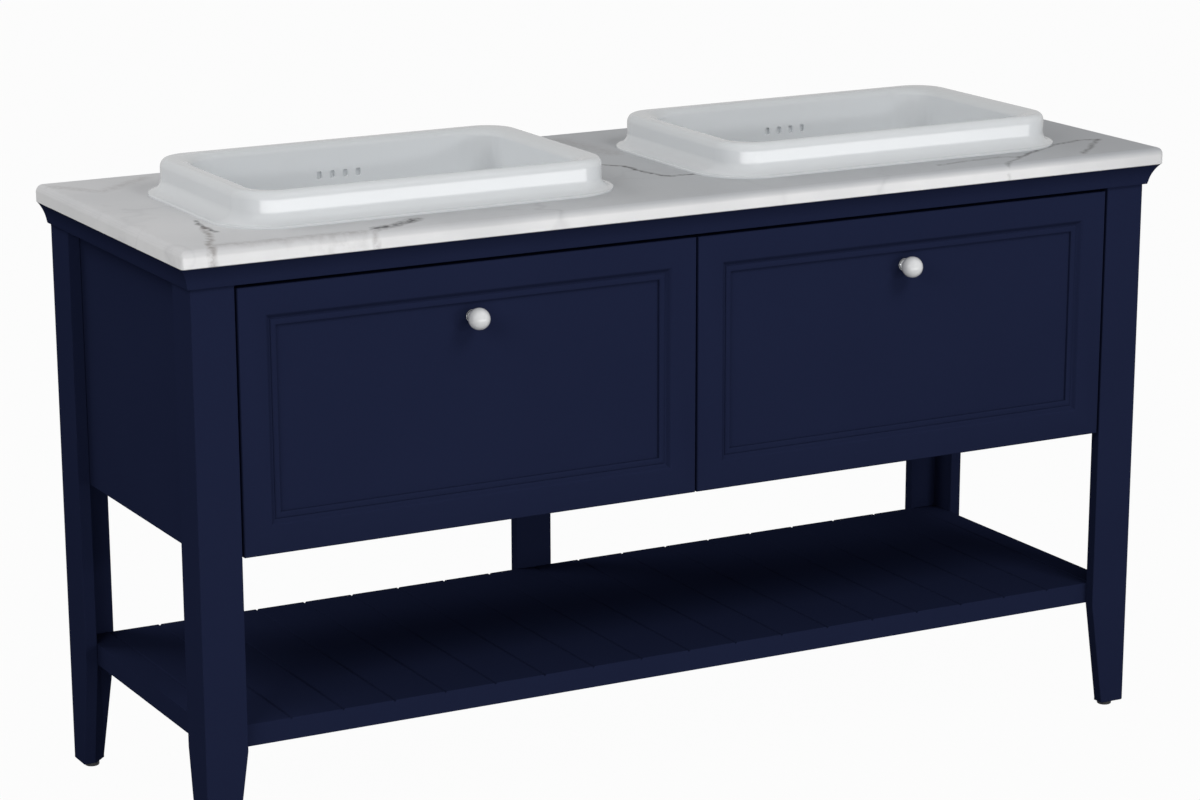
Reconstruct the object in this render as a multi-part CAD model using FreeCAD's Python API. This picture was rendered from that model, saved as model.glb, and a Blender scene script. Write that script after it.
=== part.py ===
import FreeCAD, Part
import math
import os

from FreeCAD import Rotation, Vector

os.makedirs("parts", exist_ok=True)

# Whole unit
worktop_width = 1500
side_overhang = 19
front_overhang = 22
body_depth = 503
board = 18
shelf_underside = 162.5
cabinet_underside = 424
carcass_top = 813

# Legs, each an L of two mitred boards, tapered on the inner edges below the shelf
leg_width = 60.5
rear_leg_side_width = 65
leg_foot_width = 38
leg_arris_radius = 2
centre_leg_width = 57
foot_height = 8
glide_radius = 10.5
glide_edge = 1.5
glide_nail_radius = 2
glide_nail_length = 18

# Cabinet panels and rails
side_panel_thickness = 16
bottom_thickness = 16
front_rail_depth = 45
upper_rail_height = 80
lower_rail_height = 80
divider_setback = 2.5
wall_screw_radius = 4
wall_screw_inset = 113
wall_screw_drop = 40

# Cornice under the worktop
cornice_height = 30
cornice_projection = 18
cornice_lip_drop = 3
cornice_lip_inset = 2.5
cornice_toe = 5.5
cornice_toe_height = 3.5
cornice_foot = 4.5
cornice_hollow = 1.5

# Shelf with grooved boards
shelf_thickness = 30
shelf_board_pitch = 75.1
shelf_groove_width = 4.5
shelf_groove_depth = 2.5

# Marble worktop
worktop_thickness = 24
worktop_edge_radius = 10
worktop_corner_radius = 6
cutout_clearance = 1

# Ceramic basins, sizes from the middle of the foot on the worktop
basin_place_share = 0.2387
basin_setback = 231
basin_foot_half_width = 290
basin_foot_half_depth = 182
basin_foot_corner = 88
basin_foot_edge = 3
basin_foot_round = 1.5
basin_cove_height = 20
basin_rim_half_width = 267
basin_rim_half_depth = 167.5
basin_rim_corner = 58
basin_rim_round = 8
basin_height = 46
basin_rim_width = 13
basin_back_ledge = 28
basin_inner_corner = 48
basin_inner_round = 3
basin_draft = 6
basin_depth = 80
basin_bend = 45
basin_wall = 12
basin_dish = 6
dish_low_radius = 38
dish_high_radius = 88
bend_steps = 4
cove_steps = 4
round_steps = 3
corner_steps = 6
overflow_count = 4
overflow_pitch = 19.5
overflow_width = 7.5
overflow_height = 12
overflow_corner = 2.5
overflow_corner_steps = 2
overflow_middle = 1.5
overflow_reach = 16

# Waste fittings
waste_hole_radius = 23
waste_seat_radius = 33
waste_seat_depth = 3
waste_flange_radius = 32
waste_body_radius = 22
waste_bore_radius = 18.5
waste_length = 57
waste_guide_width = 8
waste_guide_drop = 22
waste_guide_height = 8
plug_radius = 29
plug_rim_thickness = 2
plug_dome = 2.5
plug_crown_radius = 20
plug_stem_radius = 5
plug_stem_length = 36
plug_running_gap = 0.08
rest_gap = 0.3
nut_radius = 31
nut_height = 10
nut_flats = 6

# Bottle traps
trap_wall = 2.5
trap_neck_radius = 26
trap_neck_height = 20
trap_neck_overlap = 10
trap_bottle_radius = 30
trap_bottle_height = 84
trap_shoulder = 8
trap_cup_radius = 34
trap_cup_height = 32
trap_cup_overlap = 14
trap_pipe_radius = 16
trap_pipe_drop = 30
trap_outlet_radius = 23
trap_outlet_reach = 22

# Drawer fronts and their sunk panel moulding, inward from the frame and down into the wood
front_gap = 3.5
middle_gap = 3
cornice_gap = 5
front_thickness = 22
front_arris_radius = 2
frame_width = 37
ogee_width = 8.5
ogee_depth = 6.2
bead_width = 8.5
bead_top_depth = 4.5
panel_depth = 9
moulding_steps = 4

# Knobs
knob_radius = 14.75
knob_proud = 13.25
knob_seat_radius = 8
knob_drop = 73
knob_stem_radius = 5
knob_plate_radius = 9
knob_plate_thickness = 2.5
knob_steps = 9
knob_screw_radius = 2
knob_screw_head_radius = 4.5
knob_screw_head_height = 2.5
knob_screw_grip = 9

# Drawer boxes
box_board = 12
box_floor_gap = 6
drawer_headroom = 63
box_rear_room = 45
drawer_bottom_thickness = 8
drawer_bottom_rise = 6
groove_depth = 6
notch_half_width = 50

# Telescopic runners
runner_thickness = 12.7
runner_rear_gap = 6
runner_rise = 94
runner_setback = 4
runner_steel = 1.2
runner_half_height = 22.8
runner_race = 4.4
runner_race_gap = 0.2
runner_flange_inset = 1.7
runner_web_gap = 1
cage_width = 6
cage_end_margin = 15
packer_height = 60
packer_gap = 0.5

# Flat sides of each small turned piece
turned_sides = 24

# Room for cuts to run past the faces they cross, and how near two points are one point
overrun = 5
same_point = 0.001

# Places worked out from the sizes above
body_half = worktop_width / 2 - side_overhang
knob_reach = knob_proud + knob_radius
y_back = (body_depth + knob_reach) / 2
y_face = y_back - body_depth
y_rail = y_back - board
inner_half = body_half - board
panel_inner = inner_half - side_panel_thickness
groove_pairs = int(inner_half / shelf_board_pitch)
cornice_bottom = carcass_top - cornice_height
drawer_top = cornice_bottom - cornice_gap
drawer_half = body_half - leg_width - front_gap
cabinet_floor = cabinet_underside + bottom_thickness
y_behind_fronts = y_face + front_thickness + divider_setback
worktop_top = carcass_top + worktop_thickness
basin_x = worktop_width * basin_place_share
basin_y = y_face + basin_setback
opening_half_width = basin_rim_half_width - basin_rim_width
opening_half_depth = basin_rim_half_depth - (basin_rim_width + basin_back_ledge) / 2
opening_shift = (basin_rim_width - basin_back_ledge) / 2
drain_y = basin_y + opening_shift
bend_start = basin_bend - basin_depth
dish_bottom = -basin_depth - basin_dish
waste_seat = worktop_top + dish_bottom - waste_seat_depth
basin_underside = worktop_top + dish_bottom - basin_wall
waste_end = waste_seat - waste_length
trap_top = waste_end + trap_neck_overlap
bottle_top = trap_top - trap_neck_height
bottle_bottom = bottle_top - trap_bottle_height
packer_face = drawer_half + front_gap - packer_gap
divider_face = board / 2
box_inner_side = divider_face + runner_thickness
box_outer_side = packer_face - runner_thickness
box_floor = cabinet_floor + box_floor_gap
box_top = basin_underside - drawer_headroom
runner_middle = box_floor + runner_rise
y_box = y_face + front_thickness
y_box_end = y_rail - board - box_rear_room
y_runner = y_box + runner_setback
runner_length = y_box_end - runner_rear_gap - y_runner
drawer_floor = box_floor + drawer_bottom_rise
drawer_inside = drawer_floor + drawer_bottom_thickness
knob_x = (drawer_half + middle_gap / 2) / 2
knob_z = drawer_top - knob_drop
y_panel = y_face + panel_depth

ORIGIN = Vector(0, 0, 0)
ACROSS = Vector(1, 0, 0)
INWARD = Vector(0, 1, 0)
UP = Vector(0, 0, 1)


def block(x_low, x_high, y_low, y_high, z_low, z_high):
    corner = Vector(x_low, y_low, z_low)
    return Part.makeBox(x_high - x_low, y_high - y_low, z_high - z_low, corner)


def prism(points, along):
    return Part.Face(Part.makePolygon(points + points[:1])).extrude(along)


def flat_face(corners):
    distinct = []
    for corner in corners:
        if all((corner - known).Length > same_point for known in distinct):
            distinct.append(corner)
    if len(distinct) < 3:
        return []
    return [Part.Face(Part.makePolygon(distinct + distinct[:1]))]


def closed_solid(faces):
    shell = Part.makeShell(faces)
    shell.sewShape()
    solid = Part.makeSolid(shell)
    if solid.Volume < 0:
        solid.reverse()
    return solid.removeSplitter()


# Small turned pieces have flat sides, all set at the same angles so that they seat on each other
def turned(points, base, axis):
    faces = []
    for side in range(turned_sides):
        start = Rotation(axis, 360 * side / turned_sides)
        end = Rotation(axis, 360 * (side + 1) / turned_sides)
        for place in range(len(points)):
            first = points[place - 1] - base
            second = points[place] - base
            faces += flat_face(
                [
                    base + start.multVec(first),
                    base + start.multVec(second),
                    base + end.multVec(second),
                    base + end.multVec(first),
                ]
            )
    return closed_solid(faces)


def rod(radius, length, base, axis):
    across = UP if axis.cross(UP).Length > same_point else ACROSS
    foot = base + across * radius
    end = base + axis * length
    return turned([base, foot, end + across * radius, end], base, axis)


# Rings of points, all with as many corners, are joined by flat bands and closed at both ends
def banded(rings):
    faces = flat_face(rings[0]) + flat_face(rings[-1])
    for lower, upper in zip(rings, rings[1:]):
        for corner in range(len(lower)):
            faces += flat_face(
                [lower[corner - 1], lower[corner], upper[corner], upper[corner - 1]]
            )
    return closed_solid(faces)


def other_side(shape):
    return shape.mirror(ORIGIN, ACROSS)


def moved(shape, x, y, z):
    copy = shape.copy()
    copy.translate(Vector(x, y, z))
    return copy


def rounded_rectangle(half_x, half_y, radius, centre, steps):
    points = []
    for quarter in range(4):
        middle = 90 * quarter + 45
        hub_x = math.copysign(half_x - radius, math.cos(math.radians(middle)))
        hub_y = math.copysign(half_y - radius, math.sin(math.radians(middle)))
        hub = centre + Vector(hub_x, hub_y, 0)
        for step in range(steps + 1):
            angle = math.radians(90 * quarter + 90 * step / steps)
            points.append(hub + Vector(math.cos(angle), math.sin(angle), 0) * radius)
    return points


def edges_at(shape, z):
    chosen = []
    for edge in shape.Edges:
        box = edge.BoundBox
        if abs(box.ZMin - z) < rest_gap and abs(box.ZMax - z) < rest_gap:
            chosen.append(edge)
    return chosen


# Leg boards lie along +X from the arris, with the mitre at the arris and the taper on the far edge
def leg_board(width):
    hub = Vector(leg_arris_radius, leg_arris_radius, foot_height)
    start = hub + Vector(0, -leg_arris_radius, 0)
    middle_angle = math.radians(247.5)
    middle = hub + Vector(math.cos(middle_angle), math.sin(middle_angle), 0) * leg_arris_radius
    tip_angle = math.radians(225)
    tip = hub + Vector(math.cos(tip_angle), math.sin(tip_angle), 0) * leg_arris_radius
    far_front = Vector(width, 0, foot_height)
    far_back = Vector(width, board, foot_height)
    mitre_end = Vector(board, board, foot_height)
    edges = [
        Part.LineSegment(start, far_front).toShape(),
        Part.LineSegment(far_front, far_back).toShape(),
        Part.LineSegment(far_back, mitre_end).toShape(),
        Part.LineSegment(mitre_end, tip).toShape(),
        Part.Arc(tip, middle, start).toShape(),
    ]
    blank = Part.Face(Part.Wire(edges)).extrude(UP * (carcass_top - foot_height))
    taper = prism(
        [
            Vector(0, 0, foot_height),
            Vector(leg_foot_width, 0, foot_height),
            Vector(width, 0, shelf_underside),
            Vector(width, 0, carcass_top),
            Vector(0, 0, carcass_top),
        ],
        INWARD * board,
    )
    return blank.common(taper)


def nail_bore():
    middle = leg_foot_width / 2
    return rod(glide_nail_radius, glide_nail_length, Vector(middle, middle, foot_height), UP)


def leg(side_width):
    face_board = leg_board(leg_width).cut(nail_bore())
    side_board = leg_board(side_width).mirror(ORIGIN, Vector(1, -1, 0)).cut(nail_bore())
    return Part.makeCompound([face_board, side_board])


def corner_block():
    blank = block(board, leg_foot_width, board, leg_foot_width, foot_height, shelf_underside)
    return blank.cut(nail_bore())


def glide(x, y):
    profile = [
        Vector(0, 0, 0),
        Vector(glide_radius - glide_edge, 0, 0),
        Vector(glide_radius, 0, glide_edge),
        Vector(glide_radius, 0, foot_height),
        Vector(glide_nail_radius, 0, foot_height),
        Vector(glide_nail_radius, 0, foot_height + glide_nail_length),
        Vector(0, 0, foot_height + glide_nail_length),
    ]
    return moved(turned(profile, ORIGIN, UP), x, y, 0)


def at_front_left(shape):
    return moved(shape, -body_half, y_face, 0)


def at_rear_left(shape):
    return moved(shape.mirror(ORIGIN, INWARD), -body_half, y_back, 0)


front_leg = at_front_left(leg(leg_width))
rear_leg = at_rear_left(leg(rear_leg_side_width))
front_block = at_front_left(corner_block())
rear_block = at_rear_left(corner_block())
glide_x = body_half - leg_foot_width / 2
glide_front_y = y_face + leg_foot_width / 2
glide_rear_y = y_back - leg_foot_width / 2
centre_glide_y = y_back - glide_radius
centre_nail = Vector(0, centre_glide_y, foot_height)
centre_leg = block(
    -centre_leg_width / 2, centre_leg_width / 2, y_rail, y_back, foot_height, carcass_top
).cut(rod(glide_nail_radius, glide_nail_length, centre_nail, UP))
glides = [
    glide(-glide_x, glide_front_y),
    glide(glide_x, glide_front_y),
    glide(-glide_x, glide_rear_y),
    glide(glide_x, glide_rear_y),
    glide(0, centre_glide_y),
]


# Carcass panels and rails
def side_panel():
    return block(panel_inner, inner_half, y_face + board, y_rail, cabinet_underside, carcass_top)


def side_top_rail():
    y_start = y_face + leg_width
    y_end = y_back - rear_leg_side_width
    return block(inner_half, body_half, y_start, y_end, cornice_bottom, carcass_top)


def front_top_rail():
    half = body_half - leg_width
    return block(-half, half, y_face, y_face + front_rail_depth, cornice_bottom, carcass_top)


def bottom_panel():
    return block(
        -panel_inner, panel_inner, y_behind_fronts, y_rail, cabinet_underside, cabinet_floor
    )


def back_rail(z_low, z_high):
    return block(-panel_inner, panel_inner, y_rail - board, y_rail, z_low, z_high)


def upper_back_rail():
    rail = back_rail(carcass_top - upper_rail_height, carcass_top)
    for side in (-1, 1):
        screw_x = side * (inner_half - wall_screw_inset)
        start = Vector(screw_x, y_rail - board, carcass_top - wall_screw_drop)
        rail = rail.cut(Part.makeCylinder(wall_screw_radius, board, start, INWARD))
    return rail


def centre_divider():
    panel = block(
        -divider_face, divider_face, y_behind_fronts, y_rail - board, cabinet_floor, carcass_top
    )
    return panel.cut(front_top_rail())


# The cornice has a lip under the worktop, a shallow hollow and a small toe at the bottom
def cornice_profile():
    lip = Vector(0, -(cornice_projection - cornice_lip_inset), carcass_top - cornice_lip_drop)
    toe = Vector(0, -cornice_toe, cornice_bottom + cornice_toe_height)
    slope = toe - lip
    normal = Vector(0, -slope.z, slope.y)
    hollow = (lip + toe) * 0.5 - normal.normalize() * cornice_hollow
    outline = [
        Part.LineSegment(Vector(0, 0, carcass_top), Vector(0, -cornice_projection, carcass_top)),
        Part.LineSegment(Vector(0, -cornice_projection, carcass_top), lip),
        Part.Arc(lip, hollow, toe),
        Part.LineSegment(toe, Vector(0, -cornice_foot, cornice_bottom)),
        Part.LineSegment(Vector(0, -cornice_foot, cornice_bottom), Vector(0, 0, cornice_bottom)),
        Part.LineSegment(Vector(0, 0, cornice_bottom), Vector(0, 0, carcass_top)),
    ]
    return Part.Face(Part.Wire([curve.toShape() for curve in outline]))


def cornice_front():
    reach = body_half + cornice_projection
    length = moved(cornice_profile(), -reach, y_face, 0).extrude(ACROSS * (reach * 2))
    mitres = prism(
        [
            Vector(-body_half, y_face, cornice_bottom),
            Vector(-reach, y_face - cornice_projection, cornice_bottom),
            Vector(reach, y_face - cornice_projection, cornice_bottom),
            Vector(body_half, y_face, cornice_bottom),
        ],
        UP * cornice_height,
    )
    return length.common(mitres)


def cornice_side():
    reach = body_half + cornice_projection
    run = body_depth + cornice_projection
    profile = cornice_profile().mirror(ORIGIN, Vector(1, 1, 0))
    length = moved(profile, body_half, y_face - cornice_projection, 0).extrude(INWARD * run)
    mitre = prism(
        [
            Vector(body_half, y_face, cornice_bottom),
            Vector(reach, y_face - cornice_projection, cornice_bottom),
            Vector(reach, y_back, cornice_bottom),
            Vector(body_half, y_back, cornice_bottom),
        ],
        UP * cornice_height,
    )
    return length.common(mitre)


# Shelf of boards run front to back, with a V joint between boards on both faces
def shelf():
    y_front = y_face + board
    top = shelf_underside + shelf_thickness
    groove_half = shelf_groove_width / 2
    lower = []
    upper = []
    for joint in range(-groove_pairs, groove_pairs + 1):
        middle = joint * shelf_board_pitch
        for offset, depth in ((-groove_half, 0), (0, shelf_groove_depth), (groove_half, 0)):
            lower.append(Vector(middle + offset, y_front, shelf_underside + depth))
            upper.append(Vector(middle + offset, y_front, top - depth))
    outline = [Vector(-inner_half, y_front, shelf_underside)] + lower
    outline += [Vector(inner_half, y_front, shelf_underside), Vector(inner_half, y_front, top)]
    outline += upper[::-1] + [Vector(-inner_half, y_front, top)]
    return prism(outline, INWARD * (y_rail - y_front))


def worktop():
    y_front = y_face - front_overhang
    half = worktop_width / 2
    slab = block(-half, half, y_front, y_back, carcass_top, worktop_top)
    upright = []
    for edge in slab.Edges:
        box = edge.BoundBox
        if box.ZLength > worktop_edge_radius and abs(box.YMax - y_front) < rest_gap:
            upright.append(edge)
    slab = slab.makeFillet(worktop_corner_radius, upright)
    rounded = []
    for edge in edges_at(slab, worktop_top):
        if edge.BoundBox.YMin < y_back - rest_gap:
            rounded.append(edge)
    slab = slab.makeFillet(worktop_edge_radius, rounded)
    for side in (-1, 1):
        centre = Vector(side * basin_x, drain_y, carcass_top - overrun)
        hole = rounded_rectangle(
            opening_half_width + basin_wall + cutout_clearance,
            opening_half_depth + basin_wall + cutout_clearance,
            basin_inner_corner + basin_wall,
            centre,
            corner_steps,
        )
        slab = slab.cut(prism(hole, UP * (worktop_thickness + overrun * 2)))
    return slab


# Basin outlines run from the foot on the worktop, share 0, to the rim, share 1
def basin_outline(share, inset, z):
    half_x = basin_foot_half_width + share * (basin_rim_half_width - basin_foot_half_width)
    half_y = basin_foot_half_depth + share * (basin_rim_half_depth - basin_foot_half_depth)
    corner = basin_foot_corner + share * (basin_rim_corner - basin_foot_corner)
    centre = Vector(0, 0, z)
    return rounded_rectangle(
        half_x - inset, half_y - inset, corner - inset, centre, corner_steps
    )


def bowl_outline(outward, z):
    return rounded_rectangle(
        opening_half_width + outward,
        opening_half_depth + outward,
        basin_inner_corner + max(outward, 0),
        Vector(0, opening_shift, z),
        corner_steps,
    )


def bowl_solid(wall, top, outward_at_top):
    bend = basin_bend + wall
    sections = [bowl_outline(outward_at_top, top)]
    for step in range(bend_steps + 1):
        angle = math.radians(90 * step / bend_steps)
        inset = basin_draft + bend * (1 - math.cos(angle))
        sections.append(bowl_outline(wall - inset, bend_start - bend * math.sin(angle)))
    middle = Vector(0, opening_shift, 0)
    floor = UP * (-basin_depth - wall)
    deepest = UP * (dish_bottom - wall)
    dish = turned(
        [
            middle + deepest,
            middle + deepest + ACROSS * (dish_low_radius + wall),
            middle + floor + ACROSS * (dish_high_radius + wall),
            middle + floor,
        ],
        middle,
        UP,
    )
    return banded(sections).fuse(dish)


def basin_cavity():
    body = bowl_solid(0, basin_height - basin_inner_round, 0)
    flare = []
    for step in range(round_steps + 1):
        angle = math.radians(90 * step / round_steps)
        outward = basin_inner_round * (1 - math.cos(angle))
        drop = basin_inner_round * (1 - math.sin(angle))
        flare.append(bowl_outline(outward, basin_height - drop))
    flare.append(bowl_outline(basin_inner_round, basin_height + overrun))
    return body.fuse(banded(flare))


def overflow_slots():
    slots = []
    y_start = opening_shift + opening_half_depth - basin_draft
    for place in range(overflow_count):
        x = (place - (overflow_count - 1) / 2) * overflow_pitch
        outline = rounded_rectangle(
            overflow_width / 2,
            overflow_height / 2,
            overflow_corner,
            ORIGIN,
            overflow_corner_steps,
        )
        slot = prism(outline, UP * overflow_reach)
        slot.rotate(ORIGIN, ACROSS, -90)
        slots.append(moved(slot, x, y_start, overflow_middle))
    return slots


# The side rises from a small foot through a hollow cove to a short wall and a rounded rim
def basin_side():
    flare = basin_foot_half_width - basin_rim_half_width
    edge_share = basin_foot_round / flare
    outlines = [basin_outline(0, 0, 0), basin_outline(0, 0, basin_foot_edge - basin_foot_round)]
    for step in range(cove_steps + 1):
        angle = math.radians(90 * step / cove_steps)
        share = edge_share + (1 - edge_share) * math.sin(angle)
        rise = (basin_cove_height - basin_foot_edge) * (1 - math.cos(angle))
        outlines.append(basin_outline(share, 0, basin_foot_edge + rise))
    for step in range(round_steps + 1):
        angle = math.radians(90 * step / round_steps)
        inset = basin_rim_round * (1 - math.cos(angle))
        drop = basin_rim_round * (1 - math.sin(angle))
        outlines.append(basin_outline(1, inset, basin_height - drop))
    return banded(outlines)


def basin():
    bowl = bowl_solid(basin_wall, basin_foot_edge, basin_wall)
    solid = basin_side().fuse(bowl).cut(basin_cavity())
    seat_base = Vector(0, opening_shift, dish_bottom - waste_seat_depth)
    seat = rod(waste_seat_radius, waste_seat_depth + basin_dish, seat_base, UP)
    hole_base = Vector(0, opening_shift, dish_bottom - basin_wall - overrun)
    hole = rod(waste_hole_radius, basin_wall + overrun, hole_base, UP)
    return solid.cut([seat, hole] + overflow_slots())


# Waste fittings and traps are turned about the middle of the drain
def drain_point(radius, z):
    return Vector(basin_x + radius, drain_y, z)


def turned_at_drain(profile):
    points = [drain_point(radius, z) for radius, z in profile]
    return turned(points, Vector(basin_x, drain_y, 0), UP)


def waste_body():
    flange_top = waste_seat + waste_seat_depth
    tube = turned_at_drain(
        [
            (waste_bore_radius, waste_end),
            (waste_body_radius, waste_end),
            (waste_body_radius, waste_seat),
            (waste_flange_radius, waste_seat),
            (waste_flange_radius, flange_top),
            (waste_bore_radius, flange_top),
        ]
    )
    bar_top = waste_seat - waste_guide_drop
    bar = block(
        basin_x - waste_bore_radius,
        basin_x + waste_bore_radius,
        drain_y - waste_guide_width,
        drain_y + waste_guide_width,
        bar_top - waste_guide_height,
        bar_top,
    )
    bore = rod(
        plug_stem_radius + plug_running_gap,
        waste_guide_height,
        Vector(basin_x, drain_y, bar_top - waste_guide_height),
        UP,
    )
    return tube.fuse(bar).cut(bore).removeSplitter()


def waste_plug():
    seat = waste_seat + waste_seat_depth + rest_gap
    rim_top = seat + plug_rim_thickness
    return turned_at_drain(
        [
            (0, seat - plug_stem_length),
            (plug_stem_radius, seat - plug_stem_length),
            (plug_stem_radius, seat),
            (plug_radius, seat),
            (plug_radius, rim_top),
            (plug_crown_radius, rim_top + plug_dome),
            (0, rim_top + plug_dome),
        ]
    )


def waste_nut():
    corners = []
    for corner in range(nut_flats):
        angle = math.radians(corner * 360 / nut_flats)
        x = basin_x + nut_radius * math.cos(angle)
        y = drain_y + nut_radius * math.sin(angle)
        corners.append(Vector(x, y, basin_underside - nut_height))
    blank = prism(corners, UP * nut_height)
    base = Vector(basin_x, drain_y, basin_underside - nut_height)
    return blank.cut(rod(waste_body_radius, nut_height, base, UP))


def outlet_axis():
    return Vector(basin_x, drain_y, bottle_top - trap_pipe_drop)


def trap_body():
    outlet = rod(
        trap_outlet_radius, trap_bottle_radius + trap_outlet_reach, outlet_axis(), INWARD
    )
    bottle = turned_at_drain(
        [
            (0, waste_end),
            (waste_body_radius, waste_end),
            (waste_body_radius, trap_top),
            (trap_neck_radius, trap_top),
            (trap_neck_radius, bottle_top),
            (trap_bottle_radius, bottle_top - trap_shoulder),
            (trap_bottle_radius, bottle_bottom),
            (0, bottle_bottom),
        ]
    )
    return bottle.fuse(outlet)


def trap_cup():
    cup_top = bottle_bottom + trap_cup_overlap
    cup_bottom = cup_top - trap_cup_height
    return turned_at_drain(
        [
            (0, cup_bottom),
            (trap_cup_radius - trap_shoulder, cup_bottom),
            (trap_cup_radius, cup_bottom + trap_shoulder),
            (trap_cup_radius, cup_top),
            (trap_bottle_radius, cup_top),
            (trap_bottle_radius, bottle_bottom),
            (0, bottle_bottom),
        ]
    )


def trap_outlet_pipe():
    reach = trap_bottle_radius + trap_outlet_reach
    start = outlet_axis() + INWARD * reach
    run = y_back - drain_y - reach
    pipe = Part.makeCylinder(trap_pipe_radius, run, start, INWARD)
    return pipe.cut(Part.makeCylinder(trap_pipe_radius - trap_wall, run, start, INWARD))


# The panel moulding is a stack of nested rectangles, each at its own distance in and depth
def moulding_steps_inward():
    steps = [(0, 0)]
    for step in range(1, moulding_steps + 1):
        share = step / moulding_steps
        sway = math.sin(share * math.pi * 2) / (math.pi * 4)
        steps.append((ogee_width * share, ogee_depth * (share - sway)))
    bead_half = bead_width / 2
    bead_middle = ogee_width + bead_half
    for step in range(1, moulding_steps * 2):
        angle = math.pi * (1 - step / (moulding_steps * 2))
        depth = ogee_depth - (ogee_depth - bead_top_depth) * math.sin(angle)
        steps.append((bead_middle + bead_half * math.cos(angle), depth))
    steps.append((ogee_width + bead_width, ogee_depth))
    steps.append((ogee_width + bead_width, panel_depth))
    return steps


def drawer_front():
    x_low = middle_gap / 2
    x_high = drawer_half
    slab = block(x_low, x_high, y_face, y_face + front_thickness, cabinet_underside, drawer_top)
    front_edges = []
    for edge in slab.Edges:
        if abs(edge.BoundBox.YMax - y_face) < rest_gap:
            front_edges.append(edge)
    slab = slab.makeFillet(front_arris_radius, front_edges)
    rectangles = []
    for inward, depth in moulding_steps_inward():
        inset = frame_width + inward
        corners = [
            Vector(x_low + inset, y_face + depth, cabinet_underside + inset),
            Vector(x_high - inset, y_face + depth, cabinet_underside + inset),
            Vector(x_high - inset, y_face + depth, drawer_top - inset),
            Vector(x_low + inset, y_face + depth, drawer_top - inset),
        ]
        rectangles.append(Part.makePolygon(corners + corners[:1]))
    recess = Part.makeLoft(rectangles, True, True)
    return slab.cut([recess, screw_hole(y_face, front_thickness)])


def screw_hole(y_start, length):
    return rod(knob_screw_radius, length, Vector(knob_x, y_start, knob_z), INWARD)


def knob_point(radius, y):
    return Vector(knob_x + radius, y, knob_z)


def knob_flat_y():
    return y_face - knob_proud + math.sqrt(knob_radius ** 2 - knob_seat_radius ** 2)


def knob():
    centre_y = y_face - knob_proud
    seat_angle = math.asin(knob_seat_radius / knob_radius)
    grip_end = knob_flat_y() - knob_screw_grip
    profile = [
        knob_point(0, grip_end),
        knob_point(knob_screw_radius, grip_end),
        knob_point(knob_screw_radius, knob_flat_y()),
    ]
    for step in range(knob_steps + 1):
        angle = seat_angle + (math.pi - seat_angle) * step / knob_steps
        radius = knob_radius * math.sin(angle) if step < knob_steps else 0
        profile.append(knob_point(radius, centre_y + knob_radius * math.cos(angle)))
    return turned(profile, Vector(knob_x, 0, knob_z), INWARD)


def knob_base():
    plate_y = y_panel - knob_plate_thickness
    return turned(
        [
            knob_point(knob_screw_radius, knob_flat_y()),
            knob_point(knob_seat_radius, knob_flat_y()),
            knob_point(knob_stem_radius, plate_y),
            knob_point(knob_plate_radius, plate_y),
            knob_point(knob_plate_radius, y_panel),
            knob_point(knob_screw_radius, y_panel),
        ],
        Vector(knob_x, 0, knob_z),
        INWARD,
    )


def knob_screw():
    head_y = y_box + box_board
    return turned(
        [
            knob_point(0, knob_flat_y() - knob_screw_grip),
            knob_point(knob_screw_radius, knob_flat_y() - knob_screw_grip),
            knob_point(knob_screw_radius, head_y),
            knob_point(knob_screw_head_radius, head_y),
            knob_point(knob_screw_head_radius, head_y + knob_screw_head_height),
            knob_point(0, head_y + knob_screw_head_height),
        ],
        Vector(knob_x, 0, knob_z),
        INWARD,
    )


# Drawer box, with its bottom held in grooves and a notch at the back that clears the trap
def box_sides():
    groove = block(
        box_inner_side + box_board - groove_depth,
        box_outer_side - box_board + groove_depth,
        y_box,
        y_box_end,
        drawer_floor,
        drawer_inside,
    )
    inner = block(
        box_inner_side, box_inner_side + box_board, y_box, y_box_end, box_floor, box_top
    )
    outer = block(
        box_outer_side - box_board, box_outer_side, y_box, y_box_end, box_floor, box_top
    )
    return Part.makeCompound([inner.cut(groove), outer.cut(groove)])


def box_front():
    panel = block(
        box_inner_side + box_board,
        box_outer_side - box_board,
        y_box,
        y_box + box_board,
        box_floor,
        knob_z + knob_plate_radius * 2,
    )
    groove = block(
        box_inner_side,
        box_outer_side,
        y_box + box_board - groove_depth,
        y_box + box_board,
        drawer_floor,
        drawer_inside,
    )
    return panel.cut([groove, screw_hole(y_box, box_board)])


def drawer_bottom():
    panel = block(
        box_inner_side + box_board - groove_depth,
        box_outer_side - box_board + groove_depth,
        y_box + box_board - groove_depth,
        y_box_end,
        drawer_floor,
        drawer_inside,
    )
    notch = block(
        basin_x - notch_half_width,
        basin_x + notch_half_width,
        drain_y - notch_half_width,
        y_box_end,
        drawer_floor,
        drawer_inside,
    )
    return panel.cut(notch)


def notch_surround():
    outer_half = notch_half_width + box_board
    outside = block(
        basin_x - outer_half,
        basin_x + outer_half,
        drain_y - outer_half,
        y_box_end,
        drawer_inside,
        box_top,
    )
    inside = block(
        basin_x - notch_half_width,
        basin_x + notch_half_width,
        drain_y - notch_half_width,
        y_box_end,
        drawer_inside,
        box_top,
    )
    return outside.cut(inside)


def box_backs():
    outer_half = notch_half_width + box_board
    y_start = y_box_end - box_board
    inner = block(
        box_inner_side + box_board, basin_x - outer_half, y_start, y_box_end, drawer_inside, box_top
    )
    outer = block(
        basin_x + outer_half, box_outer_side - box_board, y_start, y_box_end, drawer_inside, box_top
    )
    return Part.makeCompound([inner, outer])


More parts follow.
